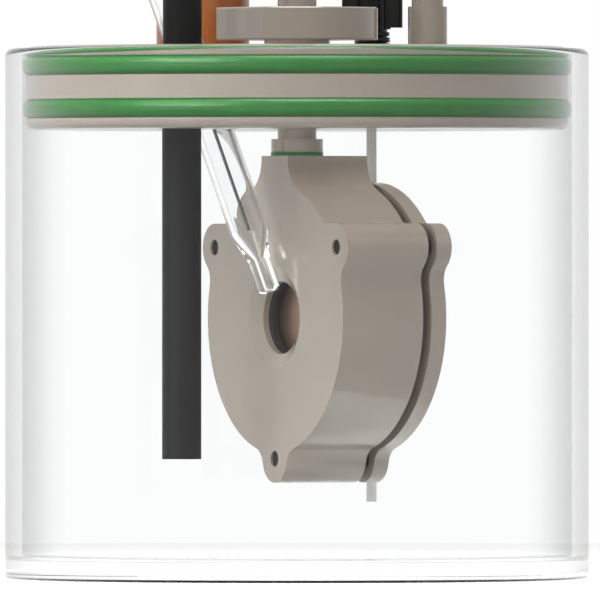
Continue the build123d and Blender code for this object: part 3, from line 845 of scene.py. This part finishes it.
ridge = add(
    thread_tree, "GeometryNodeCurveToMesh",
    {
        "Curve": upright.outputs[0], "Profile Curve": wedge_out.outputs[0],
        "Scale": full.outputs["Result"], "Fill Caps": True,
    },
)
placed = add(
    thread_tree, "GeometryNodeTransform",
    {"Geometry": ridge.outputs[0], "Translation": given.outputs["Start"]},
)
real = add(thread_tree, "GeometryNodeRealizeInstances", {"Geometry": placed.outputs[0]})
finished = add(
    thread_tree, "GeometryNodeSetMaterial",
    {"Geometry": real.outputs[0], "Material": given.outputs["Material"]},
)
add(thread_tree, "NodeGroupOutput", {"Geometry": finished.outputs[0]})
print("the thread tree has", len(thread_tree.nodes), "nodes")

# %% [markdown]
# ## Three threads from one tree
# Each thread gets its sizes through the modifier's inputs. Its result is kept as a plain
# mesh, welded and closed, that rides with the piece it belongs to. The gas screw has 28
# turns to the inch, and the knob and the stopper have a pitch of 1.5 mm.

# %% Cut the three threads
WELD = 1e-7
GAS_PORT_ANGLE = 30
STOPPER_PORT_ANGLE = 98.75


def cut_thread(name, body, core, crest, pitch, turns, start, material):
    """Run the thread tree once, with sizes in mm, and keep its mesh on a body."""
    carrier = bpy.data.objects.new(name, bpy.data.meshes.new(name))
    bpy.context.collection.objects.link(carrier)
    modifier = carrier.modifiers.new("thread", "NODES")
    modifier.node_group = thread_tree
    modifier[sockets["Core Radius"]] = core * MM
    modifier[sockets["Crest Height"]] = crest * MM
    modifier[sockets["Pitch"]] = pitch * MM
    modifier[sockets["Turns"]] = turns
    modifier[sockets["Start"]] = [c * MM for c in start]
    modifier[sockets["Material"]] = material
    evaluated = carrier.evaluated_get(bpy.context.evaluated_depsgraph_get())
    mesh = bpy.data.meshes.new_from_object(evaluated)
    carrier.modifiers.remove(modifier)
    shape = bmesh.new()
    shape.from_mesh(mesh)
    bmesh.ops.remove_doubles(shape, verts=shape.verts, dist=WELD)
    bmesh.ops.recalc_face_normals(shape, faces=shape.faces)
    shape.to_mesh(mesh)
    shape.free()
    mesh.name = name
    carrier.data = mesh
    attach(carrier, body)
    axis = Vector(start[:2]) * MM
    reach = max((vertex.co.xy - axis).length for vertex in mesh.vertices)
    print(name, "crest radius", round(reach / MM, 2), "mm, faces", len(mesh.polygons))


def port(angle, height):
    """Return a point above a port on the port circle, in mm."""
    radius = PORT_CIRCLE / MM
    return (radius * cos(radians(angle)), radius * sin(radians(angle)), height)


cut_thread(
    "gas_screw_thread", "gas_nut", core=2.35, crest=0.6, pitch=0.907, turns=8.4,
    start=port(GAS_PORT_ANGLE, 77.2), material=black_acetal,
)
cut_thread(
    "gland_thread", "gland", core=6.95, crest=0.8, pitch=1.5, turns=3.8,
    start=(0, 0, 75.3), material=lid_peek,
)
cut_thread(
    "stopper_thread", "stopper", core=4.3, crest=0.7, pitch=1.5, turns=4.4,
    start=port(STOPPER_PORT_ANGLE, 75.2), material=orange_stopper,
)

# %% [markdown]
# ## Give the CAD pieces their finishes
# The other pieces keep their CAD shape, and only their material changes. One table says
# which piece is made of what.

# %% Materials of the CAD pieces
FINISHES = {
    "lid": lid_peek,
    "gland_knob": lid_peek,
    "holder_shaft": lid_peek,
    "holder_body": holder_peek,
    "holder_back_cover": holder_peek,
    "port_plug": plug_peek,
    "lid_seal_upper": green_rubber,
    "lid_seal_lower": green_rubber,
    "shaft_gasket": green_rubber,
    "reference_seal": green_rubber,
    "port_plug_seal": green_rubber,
    "gland_seal": light_green_rubber,
    "shaft_seal": light_green_rubber,
    "electrode_seal": black_rubber,
    "cover_seal": black_rubber,
    "port_stopper_seal": black_rubber,
    "conductor_rod": brass,
    "contact_cup": brass,
    "working_electrode": sample_metal,
    "reference_wire": coated_silver,
    "counter_electrode": graphite,
    "reference_cap": milky_plastic,
    "gas_tube": milky_plastic,
    "gas_ferrule": milky_plastic,
    "gas_fitting_nut": black_acetal,
    "holder_screws": black_acetal,
    "port_stopper": orange_stopper,
}
for node, material in FINISHES.items():
    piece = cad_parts[node]
    if not piece.material_slots:
        piece.data.materials.append(material)
    for slot in piece.material_slots:
        slot.material = material
print("dressed", len(FINISHES), "CAD pieces")
